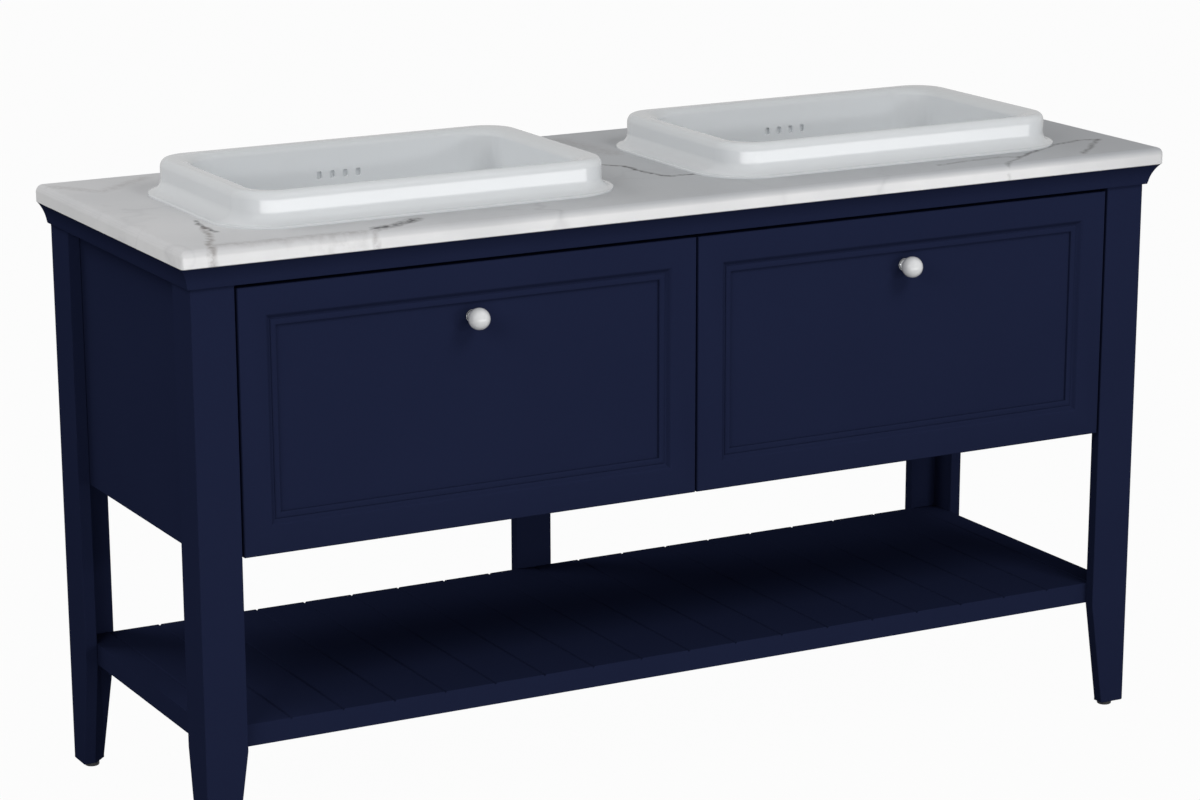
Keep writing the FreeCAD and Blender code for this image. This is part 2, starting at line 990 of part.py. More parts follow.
# Runner channels are drawn from the cabinet side at 0 towards the drawer, along +X
def channel(half_height, start, end, web_at_start):
    inner = half_height - runner_steel
    web = start if web_at_start else end
    tip = end if web_at_start else start
    web_inside = web + math.copysign(runner_steel, tip - web)
    profile = [
        (web, -half_height),
        (tip, -half_height),
        (tip, -inner),
        (web_inside, -inner),
        (web_inside, inner),
        (tip, inner),
        (tip, half_height),
        (web, half_height),
    ]
    points = [Vector(x, y_runner, runner_middle + z) for x, z in profile]
    return prism(points, INWARD * runner_length)


def at_both_sides(shape):
    inner = moved(shape, divider_face, 0, 0)
    outer = moved(other_side(shape), packer_face, 0, 0)
    return [inner, outer]


middle_half_height = runner_half_height - runner_steel - runner_race
middle_start = runner_steel + runner_web_gap
slide_half_height = middle_half_height - runner_steel - runner_race
slide_start = middle_start + runner_steel + runner_web_gap


def cabinet_members():
    shape = channel(runner_half_height, 0, runner_thickness - runner_flange_inset, True)
    return Part.makeCompound(at_both_sides(shape))


def ball_cage(race_outer, from_front):
    length = runner_length / 2 - cage_end_margin
    y_start = y_runner + cage_end_margin
    if not from_front:
        y_start = y_runner + runner_length - cage_end_margin - length
    strips = []
    for side in (-1, 1):
        edge = runner_middle + side * (race_outer - runner_race / 2)
        half = runner_race / 2 - runner_race_gap
        strips.append(
            block(
                slide_start,
                slide_start + cage_width,
                y_start,
                y_start + length,
                edge - half,
                edge + half,
            )
        )
    return strips


def intermediate_members():
    shape = channel(
        middle_half_height, middle_start, runner_thickness - runner_flange_inset, True
    )
    rear_cage = ball_cage(runner_half_height - runner_steel, False)
    front_cage = ball_cage(middle_half_height - runner_steel, True)
    solids = []
    for piece in [shape] + rear_cage + front_cage:
        solids.extend(at_both_sides(piece))
    return Part.makeCompound(solids)


def drawer_members():
    shape = channel(slide_half_height, slide_start, runner_thickness, False)
    return Part.makeCompound(at_both_sides(shape))


def runner_packer():
    half = packer_height / 2
    return block(
        packer_face,
        panel_inner,
        y_runner,
        y_runner + runner_length,
        runner_middle - half,
        runner_middle + half,
    )


def placed_basin():
    return moved(basin(), basin_x, basin_y, worktop_top)


nodes = {
    "leg_front_left": front_leg,
    "leg_front_right": other_side(front_leg),
    "leg_rear_left": rear_leg,
    "leg_rear_right": other_side(rear_leg),
    "rear_centre_leg": centre_leg,
    "leg_corner_blocks": Part.makeCompound(
        [front_block, other_side(front_block), rear_block, other_side(rear_block)]
    ),
    "foot_glides": Part.makeCompound(glides),
    "side_panel_left": other_side(side_panel()),
    "side_panel_right": side_panel(),
    "side_top_rails": Part.makeCompound([side_top_rail(), other_side(side_top_rail())]),
    "front_top_rail": front_top_rail(),
    "bottom_panel": bottom_panel(),
    "centre_divider": centre_divider(),
    "back_rail_upper": upper_back_rail(),
    "back_rail_lower": back_rail(cabinet_floor, cabinet_floor + lower_rail_height),
    "cornice_front": cornice_front(),
    "cornice_left": other_side(cornice_side()),
    "cornice_right": cornice_side(),
    "shelf": shelf(),
    "worktop": worktop(),
    "runner_packers": Part.makeCompound([runner_packer(), other_side(runner_packer())]),
}

# Pieces that each half of the unit has, drawn on the right and mirrored to the left
paired = {
    "basin": placed_basin(),
    "waste_body": waste_body(),
    "waste_plug": waste_plug(),
    "waste_nut": waste_nut(),
    "trap_body": trap_body(),
    "trap_cup": trap_cup(),
    "trap_outlet_pipe": trap_outlet_pipe(),
    "drawer_front": drawer_front(),
    "knob": knob(),
    "knob_base": knob_base(),
    "knob_screw": knob_screw(),
    "drawer_sides": box_sides(),
    "drawer_box_front": box_front(),
    "drawer_bottom": drawer_bottom(),
    "drawer_backs": box_backs(),
    "drawer_notch_surround": notch_surround(),
    "runner_cabinet_members": cabinet_members(),
    "runner_intermediate_members": intermediate_members(),
    "runner_drawer_members": drawer_members(),
}
for name, shape in paired.items():
    nodes[name + "_right"] = shape
    nodes[name + "_left"] = other_side(shape)

for name, shape in nodes.items():
    shape.exportStep("parts/" + name + ".step")
print(len(nodes), "nodes written")
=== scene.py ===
import math

import bmesh
import bpy
from mathutils import Matrix, Vector


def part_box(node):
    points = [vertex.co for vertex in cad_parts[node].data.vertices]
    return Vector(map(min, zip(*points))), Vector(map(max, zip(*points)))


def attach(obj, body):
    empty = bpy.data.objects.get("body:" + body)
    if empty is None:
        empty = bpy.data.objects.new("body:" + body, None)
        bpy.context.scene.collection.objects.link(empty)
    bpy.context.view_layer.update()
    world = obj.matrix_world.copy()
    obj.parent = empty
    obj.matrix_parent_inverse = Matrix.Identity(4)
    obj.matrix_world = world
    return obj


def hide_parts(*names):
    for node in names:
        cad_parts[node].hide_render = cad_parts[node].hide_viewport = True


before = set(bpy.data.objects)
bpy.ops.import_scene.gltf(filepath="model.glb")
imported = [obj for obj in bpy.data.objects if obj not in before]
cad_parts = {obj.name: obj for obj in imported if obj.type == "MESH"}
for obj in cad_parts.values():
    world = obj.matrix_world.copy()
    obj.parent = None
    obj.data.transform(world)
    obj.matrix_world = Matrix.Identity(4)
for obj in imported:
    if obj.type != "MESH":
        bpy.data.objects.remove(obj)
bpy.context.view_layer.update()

scene = bpy.context.scene
scene.view_settings.view_transform = "Standard"

# Viewpoint
# A long lens looks at the unit from its front left, a little above the worktop. The lens is shifted,
# because the unit stands off the middle of the picture.
eye = Vector((-2.3691, -4.3445, 1.7243))
heading = math.radians(26.99)
downward = math.radians(16.10)
roll = math.radians(-0.52)
focal_length = 107.93
lens_shift = (0.07025, 0.11712)
view_end = 100

ahead = Vector((
    math.sin(heading) * math.cos(downward),
    math.cos(heading) * math.cos(downward),
    -math.sin(downward),
))
level = Vector((math.cos(heading), -math.sin(heading), 0))
upright = level.cross(ahead)
right = math.cos(roll) * level + math.sin(roll) * upright
above = math.cos(roll) * upright - math.sin(roll) * level
camera = bpy.data.objects.new("viewpoint", bpy.data.cameras.new("viewpoint"))
turn = Matrix((right, above, -ahead)).transposed().to_4x4()
camera.matrix_world = Matrix.Translation(eye) @ turn
camera.data.lens = focal_length
camera.data.shift_x, camera.data.shift_y = lens_shift
camera.data.clip_end = view_end
scene.collection.objects.link(camera)
scene.camera = camera

# Studio floor
# A wide pale floor that runs out of sight. What is seen of it directly is mostly plain white, with
# the unit's own soft shadow left in. Glossy pieces mirror that white at less than half its strength.
floor_half = 30
floor_colour = (0.30, 0.30, 0.30, 1)
floor_roughness = 0.9
floor_white = 0.97
mirrored_share = 0.45


def made_node(tree, kind, inputs=(), **settings):
    made = tree.nodes.new(kind)
    for name, value in settings.items():
        setattr(made, name, value)
    for socket, value in dict(inputs).items():
        if isinstance(value, bpy.types.NodeSocket):
            tree.links.new(value, made.inputs[socket])
        else:
            made.inputs[socket].default_value = value
    return made


def calculated(tree, operation, first, second=0.0):
    return made_node(tree, "ShaderNodeMath", {0: first, 1: second}, operation=operation).outputs[0]


def seen_directly(tree):
    path = made_node(tree, "ShaderNodeLightPath").outputs
    mirrored = calculated(tree, "MAXIMUM", path["Is Glossy Ray"], path["Is Transmission Ray"])
    dimmed = calculated(tree, "MULTIPLY", mirrored, mirrored_share)
    return calculated(tree, "MAXIMUM", path["Is Camera Ray"], dimmed)


def floor_finish():
    material = bpy.data.materials.new("studio_floor")
    material.use_nodes = True
    tree = material.node_tree
    paint = tree.nodes["Principled BSDF"]
    paint.inputs["Base Color"].default_value = floor_colour
    paint.inputs["Roughness"].default_value = floor_roughness
    paint.inputs["Specular IOR Level"].default_value = 0
    plain = made_node(tree, "ShaderNodeEmission", {"Strength": 1})
    share = calculated(tree, "MULTIPLY", seen_directly(tree), floor_white)
    mixed = made_node(
        tree, "ShaderNodeMixShader", {0: share, 1: paint.outputs[0], 2: plain.outputs[0]}
    )
    tree.links.new(mixed.outputs[0], tree.nodes["Material Output"].inputs["Surface"])
    return material


def linked(name, mesh):
    piece = bpy.data.objects.new(name, mesh)
    scene.collection.objects.link(piece)
    return piece


floor_mesh = bpy.data.meshes.new("studio_floor")
floor_mesh.from_pydata(
    [(x * floor_half, y * floor_half, 0) for x, y in ((-1, -1), (1, -1), (1, 1), (-1, 1))],
    [],
    [(0, 1, 2, 3)],
)
floor_mesh.materials.append(floor_finish())
linked("studio_floor", floor_mesh)

# Studio light
# A high soft box at the front right is the main light. A low wide card, which the glaze mirrors, fills
# the fronts, two boxes light the left end, and a small lamp shines over the rims onto the back walls.
ambient_strength = 0.24
# Each light has its place, the point it faces, its width, its height and its power
soft_boxes = {
    "front_card": ((-0.3, -3.3, 0.32), (-0.3, 0, 0.32), 6.4, 0.6, 32),
    "box_left": ((-2.6, -1.6, 1.9), (-0.5, 0, 0.6), 1.4, 1.4, 20),
    "box_high": ((0.9, -2.4, 3.0), (0.1, 0, 0.7), 1.2, 1.2, 27),
    "box_behind": ((-1.8, 1.4, 2.3), (-0.4, 0, 0.8), 1.2, 1.2, 16),
    "rim_lamp": ((1.3, -3.5, 1.30), (0, 0, 0.86), 0.8, 0.15, 13),
}
mirrored_box = "front_card"

world = bpy.data.worlds.new("studio")
world.use_nodes = True
scene.world = world
sky = world.node_tree
ambient = sky.nodes["Background"]
ambient.inputs["Strength"].default_value = ambient_strength
ambient.inputs["Color"].default_value = (1, 1, 1, 1)
backdrop = made_node(sky, "ShaderNodeBackground", {"Color": (1, 1, 1, 1), "Strength": 1})
either_sky = made_node(
    sky,
    "ShaderNodeMixShader",
    {0: seen_directly(sky), 1: ambient.outputs[0], 2: backdrop.outputs[0]},
)
sky.links.new(either_sky.outputs[0], sky.nodes["World Output"].inputs["Surface"])

for name, (place, target, width, height, power) in soft_boxes.items():
    light = bpy.data.lights.new(name, "AREA")
    light.shape = "RECTANGLE"
    light.size = width
    light.size_y = height
    light.energy = power
    lamp = linked(name, light)
    lamp.location = place
    lamp.rotation_euler = (Vector(target) - Vector(place)).to_track_quat("-Z", "Y").to_euler()
    lamp.visible_camera = False
    lamp.visible_glossy = name == mirrored_box

# Legs
# Each leg is two solid boards glued in a mitre along the arris and lacquered over the joint. Their
# inner edges taper from the shelf to the foot, and the outer faces run straight down.
paint_deep = (0.0144, 0.0195, 0.0525, 1)
paint_light = (0.0163, 0.0220, 0.0580, 1)
paint_roughness = 0.42
paint_unevenness = 0.05
board = 0.018
leg_foot = 0.038
leg_arris = 0.0016
same_place = 0.00001
crease = math.radians(32)


def started_material(name):
    material = bpy.data.materials.new(name)
    material.use_nodes = True
    tree = material.node_tree
    place = made_node(tree, "ShaderNodeTexCoord").outputs["Object"]
    return material, tree, tree.nodes["Principled BSDF"], place


def noise(tree, place, scale, detail=3.0, warp=0.0):
    settings = {"Vector": place, "Scale": scale, "Detail": detail, "Distortion": warp}
    return made_node(tree, "ShaderNodeTexNoise", settings).outputs["Fac"]


def stretched(tree, value, low, high, to_low, to_high):
    names = ("Value", "From Min", "From Max", "To Min", "To Max")
    settings = dict(zip(names, (value, low, high, to_low, to_high)))
    return made_node(tree, "ShaderNodeMapRange", settings).outputs["Result"]


def tinted(tree, factor, first, second):
    mix = made_node(tree, "ShaderNodeMix", data_type="RGBA")
    sockets = (mix.inputs[0], mix.inputs[6], mix.inputs[7])
    for value, socket in zip((factor, first, second), sockets):
        if isinstance(value, bpy.types.NodeSocket):
            tree.links.new(value, socket)
        else:
            socket.default_value = value
    return mix.outputs[2]


def raised(tree, shader, height, distance, strength):
    bump = made_node(
        tree, "ShaderNodeBump", {"Height": height, "Distance": distance, "Strength": strength}
    )
    tree.links.new(bump.outputs[0], shader.inputs["Normal"])


def lacquer():
    material, tree, shader, place = started_material("navy_lacquer")
    cloud = noise(tree, place, scale=5)
    tint = tinted(tree, cloud, paint_deep, paint_light)
    tree.links.new(tint, shader.inputs["Base Color"])
    smooth, dull = paint_roughness - paint_unevenness, paint_roughness + paint_unevenness
    tree.links.new(stretched(tree, cloud, 0.3, 0.7, smooth, dull), shader.inputs["Roughness"])
    shader.inputs["Specular IOR Level"].default_value = 0
    raised(tree, shader, noise(tree, place, scale=420, detail=2), distance=0.0004, strength=0.06)
    return material


def shell_mesh(name, points, faces):
    mesh = bpy.data.meshes.new(name)
    mesh.from_pydata(points, [], faces)
    work = bmesh.new()
    work.from_mesh(mesh)
    bmesh.ops.remove_doubles(work, verts=work.verts, dist=same_place)
    bmesh.ops.recalc_face_normals(work, faces=work.faces)
    work.to_mesh(mesh)
    work.free()
    return mesh


def band_faces(ring_count, ring_size, closed):
    faces = []
    for ring in range(ring_count if closed else ring_count - 1):
        after = (ring + 1) % ring_count
        for place in range(ring_size):
            beside = (place + 1) % ring_size
            faces.append(tuple(
                row * ring_size + column
                for row, column in ((ring, place), (ring, beside), (after, beside), (after, place))
            ))
    if not closed:
        faces.append(tuple(range(ring_size)))
        faces.append(tuple(range((ring_count - 1) * ring_size, ring_count * ring_size)))
    return faces


def banded(name, rings, closed=False):
    points = [point for ring in rings for point in ring]
    return shell_mesh(name, points, band_faces(len(rings), len(rings[0]), closed))


def eased(piece, width, segments=3):
    bevel = piece.modifiers.new("eased_edges", "BEVEL")
    bevel.width = width
    bevel.segments = segments
    bevel.limit_method = "ANGLE"
    bevel.angle_limit = crease
    bevel.harden_normals = True


def finished(piece, material, slot, body, *nodes):
    piece.data.materials.append(material)
    piece.data.shade_smooth()
    piece.data.set_sharp_from_angle(angle=crease)
    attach(piece, body)
    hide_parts(*nodes)


cabinet_paint = lacquer()
shelf_low, shelf_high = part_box("shelf")


def leg_ring(corner, side_x, side_y, face_width, side_width, z):
    outline = (
        (0, 0), (face_width, 0), (face_width, board),
        (board, board), (board, side_width), (0, side_width),
    )
    return [(corner[0] + side_x * x, corner[1] + side_y * y, z) for x, y in outline]


for end, side in (("front", "left"), ("front", "right"), ("rear", "left"), ("rear", "right")):
    node = "leg_" + end + "_" + side
    low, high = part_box(node)
    side_x = 1 if side == "left" else -1
    side_y = 1 if end == "front" else -1
    corner = (low.x if side == "left" else high.x, low.y if end == "front" else high.y)
    face_width, side_width = high.x - low.x, high.y - low.y
    leg = linked("leg_assembly_" + end + "_" + side, banded(node, [
        leg_ring(corner, side_x, side_y, leg_foot, leg_foot, low.z),
        leg_ring(corner, side_x, side_y, face_width, side_width, shelf_low.z),
        leg_ring(corner, side_x, side_y, face_width, side_width, high.z),
    ]))
    eased(leg, leg_arris)
    finished(leg, cabinet_paint, "painted_wood", "carcass", node)

# Corner blocks
# A three-sided block is glued into the angle of each leg, from the foot up to the shelf. It takes the
# nail of the glide and carries a corner of the shelf.


def joined(name, meshes):
    work = bmesh.new()
    for mesh in meshes:
        work.from_mesh(mesh)
    mesh = bpy.data.meshes.new(name)
    work.to_mesh(mesh)
    work.free()
    return mesh


def block_ring(corner, side_x, side_y, z):
    outline = ((board, board), (leg_foot, board), (board, leg_foot))
    return [(corner[0] + side_x * x, corner[1] + side_y * y, z) for x, y in outline]


block_low, block_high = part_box("leg_corner_blocks")
leg_low, leg_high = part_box("leg_front_left")[0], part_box("leg_rear_right")[1]
glue_blocks = []
for side_x, corner_x in ((1, leg_low.x), (-1, leg_high.x)):
    for side_y, corner_y in ((1, leg_low.y), (-1, leg_high.y)):
        glue_blocks.append(banded("glue_block", [
            block_ring((corner_x, corner_y), side_x, side_y, z) for z in (block_low.z, block_high.z)
        ]))
blocks = linked("glue_blocks", joined("glue_blocks", glue_blocks))
finished(blocks, cabinet_paint, "carcass_wood", "carcass", "leg_corner_blocks")

# Carcass boards
# Flat boards of the box and the rear centre leg, sprayed in the same lacquer as the outside. Their
# edges are eased with sandpaper before the paint.
board_arris = 0.0007


def dressed(node, material):
    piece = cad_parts[node]
    for place in piece.material_slots:
        place.material = material


def sanded(node, width):
    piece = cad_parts[node]
    weld = piece.modifiers.new("joined_corners", "WELD")
    weld.merge_threshold = same_place
    eased(piece, width, segments=2)


for node in (
    "rear_centre_leg", "side_panel_left", "side_panel_right",
    "side_top_rails", "front_top_rail", "bottom_panel", "centre_divider",
    "back_rail_upper", "back_rail_lower", "runner_packers",
):
    dressed(node, cabinet_paint)
    sanded(node, board_arris)

# Foot glides
# Five round glides of grey nylon with a steel nail in the middle, hammered into the legs. Their
# colour is painted dark as painted shade under the unit. One glide is turned and then set under each
# leg.
# Both nylon tones are darkened into painted shade.
nylon_shade_deep = (0.035, 0.035, 0.040, 1)
nylon_shade_pale = (0.055, 0.055, 0.060, 1)
nylon_roughness = 0.55
glide_radius = 0.0105
glide_height = 0.008
glide_round = 0.0018
glide_round_steps = 5
glide_sides = 40


def nylon():
    material, tree, shader, place = started_material("grey_nylon_in_painted_shade")
    grain = noise(tree, place, scale=900)
    tree.links.new(tinted(tree, grain, nylon_shade_deep, nylon_shade_pale), shader.inputs["Base Color"])
    shader.inputs["Roughness"].default_value = nylon_roughness
    raised(tree, shader, grain, distance=0.0003, strength=0.2)
    return material


def arc(centre, radius, start, end, steps):
    points = []
    for step in range(steps + 1):
        angle = math.radians(start + (end - start) * step / steps)
        points.append((centre[0] + radius * math.cos(angle), centre[1] + radius * math.sin(angle)))
    return points


def lathe(name, profile, centre, sides, along_y=False, ribs=0, rib_depth=0.0, ribbed=()):
    rings = []
    for place, (radius, height) in enumerate(profile):
        ring = []
        for side in range(sides):
            angle = math.tau * side / sides
            reach = radius
            if place in ribbed:
                reach -= rib_depth * abs(math.sin(ribs * angle / 2))
            across = reach * math.cos(angle)
            up = reach * math.sin(angle)
            offset = (across, height, up) if along_y else (across, up, height)
            ring.append(tuple(base + part for base, part in zip(centre, offset)))
        rings.append(ring)
    return banded(name, rings, closed=True)


def baked(piece):
    bpy.context.view_layer.update()
    graph = bpy.context.evaluated_depsgraph_get()
    mesh = bpy.data.meshes.new_from_object(piece.evaluated_get(graph))
    mesh.materials.clear()
    piece.modifiers.clear()
    piece.data = mesh
    return piece


def tree_with(name, *sockets):
    tree = bpy.data.node_groups.new(name, "GeometryNodeTree")
    tree.interface.new_socket("Geometry", in_out="INPUT", socket_type="NodeSocketGeometry")
    for label, kind in sockets:
        tree.interface.new_socket(label, in_out="INPUT", socket_type=kind)
    tree.interface.new_socket("Geometry", in_out="OUTPUT", socket_type="NodeSocketGeometry")
    return tree, made_node(tree, "NodeGroupInput"), made_node(tree, "NodeGroupOutput")


def grown(piece, tree, **sizes):
    modifier = piece.modifiers.new(tree.name, "NODES")
    modifier.node_group = tree
    for item in tree.interface.items_tree:
        if item.in_out == "INPUT" and item.name in sizes:
            modifier[item.identifier] = sizes[item.name]
    return baked(piece)


def repeated_at(points, tree, given, result, material):
    copies = made_node(
        tree,
        "GeometryNodeInstanceOnPoints",
        {"Points": points, "Instance": given.outputs["Geometry"]},
    )
    real = made_node(
        tree, "GeometryNodeRealizeInstances", {"Geometry": copies.outputs["Instances"]}
    )
    painted = made_node(
        tree, "GeometryNodeSetMaterial", {"Geometry": real.outputs[0], "Material": material}
    )
    tree.links.new(painted.outputs[0], result.inputs[0])
    return tree


def copied_to(piece, places, material):
    tree, given, result = tree_with("copies_on_points", ("Points", "NodeSocketObject"))
    cloud = made_node(tree, "GeometryNodeObjectInfo", {"Object": given.outputs["Points"]})
    repeated_at(cloud.outputs["Geometry"], tree, given, result, material)
    mesh = bpy.data.meshes.new("places")
    mesh.from_pydata(places, [], [])
    points = linked("places", mesh)
    grown(piece, tree, Points=points)
    bpy.data.objects.remove(points)


glide_low, glide_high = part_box("foot_glides")
glide_profile = [(0, 0)]
glide_profile += arc(
    (glide_radius - glide_round, glide_round), glide_round, -90, 0, glide_round_steps
)
glide_profile += [(glide_radius, glide_height), (0, glide_height)]
glide = linked("glides", lathe("glides", glide_profile, (0, 0, 0), glide_sides))
front_y = glide_low.y + glide_radius
glide_x = glide_high.x - glide_radius
leg_rear_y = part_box("leg_rear_left")[1].y - leg_foot / 2
centre_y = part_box("rear_centre_leg")[1].y - glide_radius
nylon_finish = nylon()
copied_to(glide, [
    (-glide_x, front_y, 0), (glide_x, front_y, 0),
    (-glide_x, leg_rear_y, 0), (glide_x, leg_rear_y, 0), (0, centre_y, 0),
], nylon_finish)
finished(glide, nylon_finish, "glide_plastic", "carcass", "foot_glides")

# Cornice
# A moulded length along the front and a return on each side, mitred at the corners, glued and pinned
# under the worktop. A small lip, a hollow and a toe are cut with one cutter.
cornice_projection = 0.018
cornice_lip_drop = 0.003
cornice_lip_inset = 0.0025
cornice_toe = (0.0055, 0.0035)
cornice_foot = 0.0045
cornice_hollow = 0.0015
hollow_steps = 8
cornice_arris = 0.0005

cornice_low, cornice_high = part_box("cornice_front")
lip = (cornice_projection - cornice_lip_inset, cornice_high.z - cornice_lip_drop)
toe = (cornice_toe[0], cornice_low.z + cornice_toe[1])
slope = Vector((toe[0] - lip[0], toe[1] - lip[1]))
inward = Vector((slope.y, -slope.x)).normalized()
cornice_profile = [(0, cornice_high.z), (cornice_projection, cornice_high.z)]
for step in range(hollow_steps + 1):
    share = step / hollow_steps
    sag = 4 * cornice_hollow * share * (1 - share)
    point = Vector(lip) + slope * share + inward * sag
    cornice_profile.append((point.x, point.y))
cornice_profile += [(cornice_foot, cornice_low.z), (0, cornice_low.z)]

return_end_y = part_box("cornice_left")[1].y
cornice_rings = []
for side_x, side_y in ((-1, 0), (-1, 1), (1, 1), (1, 0)):
    ring = []
    for out, z in cornice_profile:
        x = side_x * (-leg_low.x + out)
        y = leg_low.y - out if side_y else return_end_y
        ring.append((x, y, z))
    cornice_rings.append(ring)
cornice = linked("cornice", banded("cornice", cornice_rings))
eased(cornice, cornice_arris, segments=2)
finished(
    cornice, cabinet_paint, "painted_wood", "carcass",
    "cornice_front", "cornice_left", "cornice_right",
)

# Shelf
# Boards side by side from front to back, each with its upper long edges chamfered, so that a V shows
# at every joint. The end boards are ripped to fit between the legs.
shelf_pitch = 0.0751
shelf_chamfer = (0.00225, 0.0025)
shelf_rows = 20


def row_of(name, material):
    tree, given, result = tree_with(
        name, ("Pitch", "NodeSocketFloat"), ("Count", "NodeSocketInt")
    )
    step = made_node(tree, "ShaderNodeCombineXYZ", {"X": given.outputs["Pitch"]})
    row = made_node(
        tree,
        "GeometryNodeMeshLine",
        {"Count": given.outputs["Count"], "Offset": step.outputs[0]},
    )
    return repeated_at(row.outputs[0], tree, given, result, material)


def cut_at(mesh, x, side):
    work = bmesh.new()
    work.from_mesh(mesh)
    parts = work.verts[:] + work.edges[:] + work.faces[:]
    cut = bmesh.ops.bisect_plane(
        work, geom=parts, plane_co=(x, 0, 0), plane_no=(side, 0, 0), clear_outer=True
    )
    edges = [part for part in cut["geom_cut"] if isinstance(part, bmesh.types.BMEdge)]
    bmesh.ops.contextual_create(work, geom=edges)
    bmesh.ops.recalc_face_normals(work, faces=work.faces)
    work.to_mesh(mesh)
    work.free()


start_x = -shelf_pitch * shelf_rows / 2
across, down = shelf_chamfer
outline = (
    (0, shelf_low.z), (shelf_pitch, shelf_low.z),
    (shelf_pitch, shelf_high.z - down), (shelf_pitch - across, shelf_high.z),
    (across, shelf_high.z), (0, shelf_high.z - down),
)
shelf = linked("shelf_boards", banded("shelf_boards", [
    [(start_x + x, y, z) for x, z in outline] for y in (shelf_low.y, shelf_high.y)
]))
grown(shelf, row_of("board_row", cabinet_paint), Pitch=shelf_pitch, Count=shelf_rows)
cut_at(shelf.data, shelf_low.x, -1)
cut_at(shelf.data, shelf_high.x, 1)
finished(shelf, cabinet_paint, "painted_wood", "carcass", "shelf")

# Worktop
# One slab of polished white marble with grey veins, polished to a higher shine on the edge than on
# top.
# Its colour carries painted light: the edge is painted lighter than the top, and the top is painted in
# shade that deepens from the left end to the right end. The upper edge is rounded at the front and
# both ends, and two openings are sawn for the bowls.
worktop_low, worktop_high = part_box("worktop")
worktop_round = 0.010
worktop_round_steps = 10
worktop_corner = 0.006
worktop_corner_least = 0.0001
worktop_corner_steps = 6
worktop_arris = 0.001
opening_half = (0.267, 0.160)
opening_corner = 0.060
opening_corner_steps = 12
# Painted light and shade in the marble's colour: lit at the left end, half lit in the middle, in shade
# at the right end, and lit on the edge.
marble_lit_left = (0.78, 0.78, 0.79, 1)
marble_half_lit = (0.58, 0.595, 0.615, 1)
marble_shade = (0.515, 0.53, 0.555, 1)
marble_lit_edge = (0.93, 0.93, 0.935, 1)
marble_cloud = (0.50, 0.51, 0.53, 1)
marble_thread = (0.36, 0.36, 0.38, 1)
edge_fade = (0.003, 0.011)
top_roughness, edge_roughness = 0.30, 0.16
top_shine, edge_shine = 0.03, 0.60
# Veins seen on the slab: half width, strength and colour, then their course in plan. Those that reach
# the front edge run on down its face.
vein_black = (0.045, 0.042, 0.045, 1)
vein_brown = (0.20, 0.165, 0.15, 1)
vein_core = 0.2
veins = (
    (0.0050, 0.90, vein_black, ((-0.659, -0.083), (-0.665, -0.128), (-0.662, -0.165))),
    (0.0075, 0.60, vein_brown, (
        (-0.665, -0.130), (-0.684, -0.195), (-0.700, -0.232), (-0.711, -0.275),
    )),
    (0.0130, 0.95, vein_black, (
        (-0.474, -0.243), (-0.455, -0.240), (-0.438, -0.233), (-0.405, -0.213),
    )),
    (0.0060, 0.35, vein_brown, ((-0.484, -0.248), (-0.479, -0.280))),
    (0.0120, 0.28, vein_brown, ((-0.690, -0.243), (-0.640, -0.246), (-0.500, -0.250))),
    (0.0055, 0.90, vein_black, (
        (-0.020, 0.030), (0.013, -0.010), (0.015, -0.063), (0.027, -0.105), (0.065, -0.112),
    )),
    (0.0300, 0.25, vein_brown, ((0.030, 0.220), (0.050, 0.090))),
    (0.0060, 0.75, vein_black, (
        (0.709, -0.157), (0.682, -0.151), (0.616, -0.170), (0.528, -0.223),
    )),
    (0.0050, 0.50, vein_black, ((0.528, -0.223), (0.487, -0.255))),
    (0.0060, 0.50, vein_black, (
        (0.528, -0.223), (0.504, -0.209), (0.460, -0.211), (0.396, -0.220),
    )),
    (0.0065, 0.60, vein_black, ((0.709, -0.157), (0.665, -0.200), (0.624, -0.241))),
    (0.0140, 0.22, vein_brown, ((-0.735, 0.240), (-0.690, 0.170), (-0.600, 0.240))),
)


def to_course(tree, place, start, end):
    along = Vector((end[0] - start[0], end[1] - start[1], 0))
    length = along.length
    along.normalize()
    shifted = made_node(
        tree, "ShaderNodeVectorMath", {0: place, 1: (start[0], start[1], 0)}, operation="SUBTRACT"
    ).outputs[0]
    run = made_node(tree, "ShaderNodeVectorMath", {0: shifted, 1: along}, operation="DOT_PRODUCT")
    held = stretched(tree, run.outputs["Value"], 0, length, 0, length)
    foot = made_node(tree, "ShaderNodeVectorMath", {0: along, "Scale": held}, operation="SCALE")
    gap = made_node(
        tree, "ShaderNodeVectorMath", {0: shifted, 1: foot.outputs[0]}, operation="DISTANCE"
    )
    return gap.outputs["Value"]


def warped(tree, place, scale, reach, detail, plan=1.0):
    drift = made_node(
        tree, "ShaderNodeTexNoise", {"Vector": place, "Scale": scale, "Detail": detail}
    )
    centred = made_node(
        tree,
        "ShaderNodeVectorMath",
        {0: drift.outputs["Color"], 1: (0.5, 0.5, 0.5)},
        operation="SUBTRACT",
    )
    flat = made_node(
        tree, "ShaderNodeVectorMath", {0: place, 1: (1, 1, plan)}, operation="MULTIPLY"
    )
    return made_node(
        tree,
        "ShaderNodeVectorMath",
        {0: centred.outputs[0], 1: (reach, reach, reach * plan), 2: flat.outputs[0]},
        operation="MULTIPLY_ADD",
    ).outputs[0]


